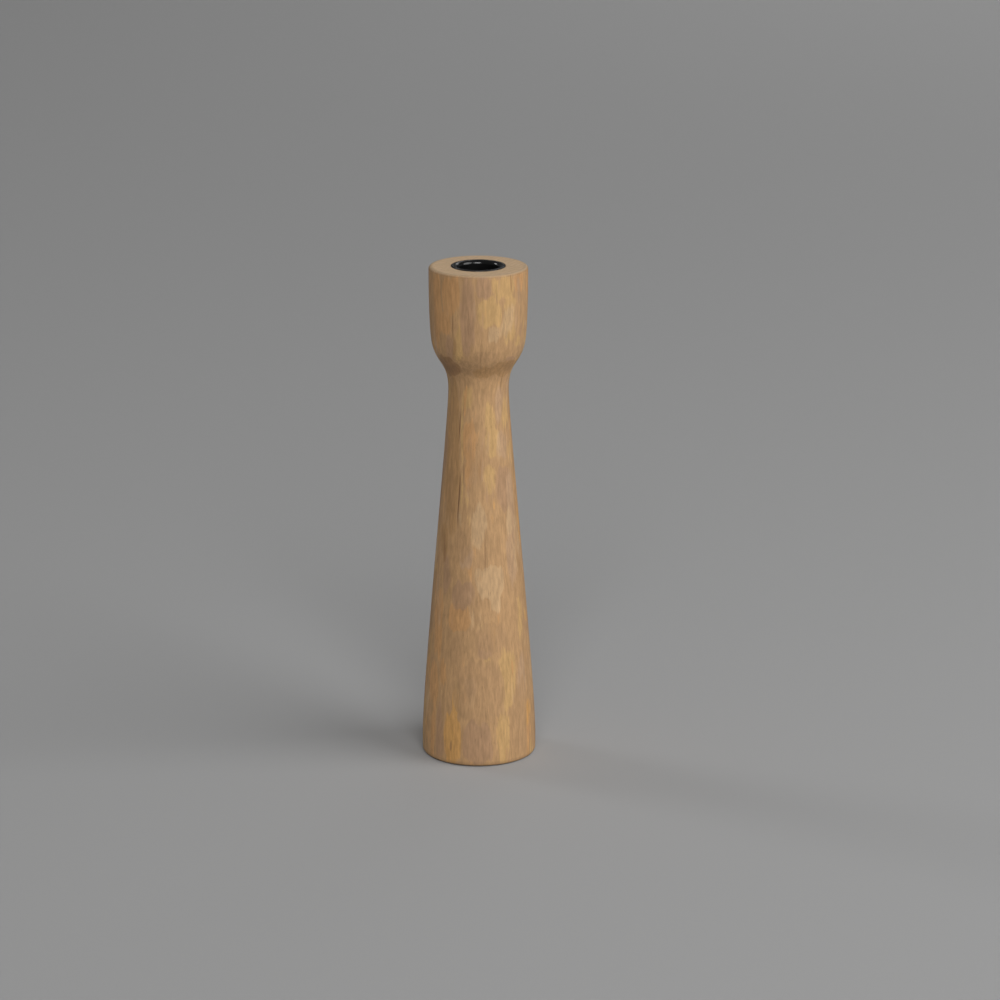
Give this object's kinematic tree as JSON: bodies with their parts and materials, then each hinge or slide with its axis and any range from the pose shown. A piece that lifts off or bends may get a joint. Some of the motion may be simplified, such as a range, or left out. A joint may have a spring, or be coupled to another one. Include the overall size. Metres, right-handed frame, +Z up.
{
  "type": "candlestick",
  "caption": "Turned wooden candlestick with a straight bowl, a narrow neck, a long taper to a wider foot, and a black metal cup let into the top for one dinner candle.",
  "frame": {"origin": "middle of the foot, in the plane of the surface that it stands on", "axes": "+Z up the stick's axis, out of the candle cup; X and Y are alike, as the part is turned"},
  "size_m": [0.0638, 0.0638, 0.2803],
  "materials": {
    "turned_wood": "satin oiled wood with long pores and a few fine cracks along the grain",
    "black_enamel": "gloss black",
    "blackened_steel": "black oxide, satin",
    "felt": "matt wool felt"
  },
  "bodies": {
    "root": {"turned_stick": "turned_wood", "candle_cup": "black_enamel", "cup_screw": "blackened_steel", "base_pad": "felt"}
  },
  "joints": []
}
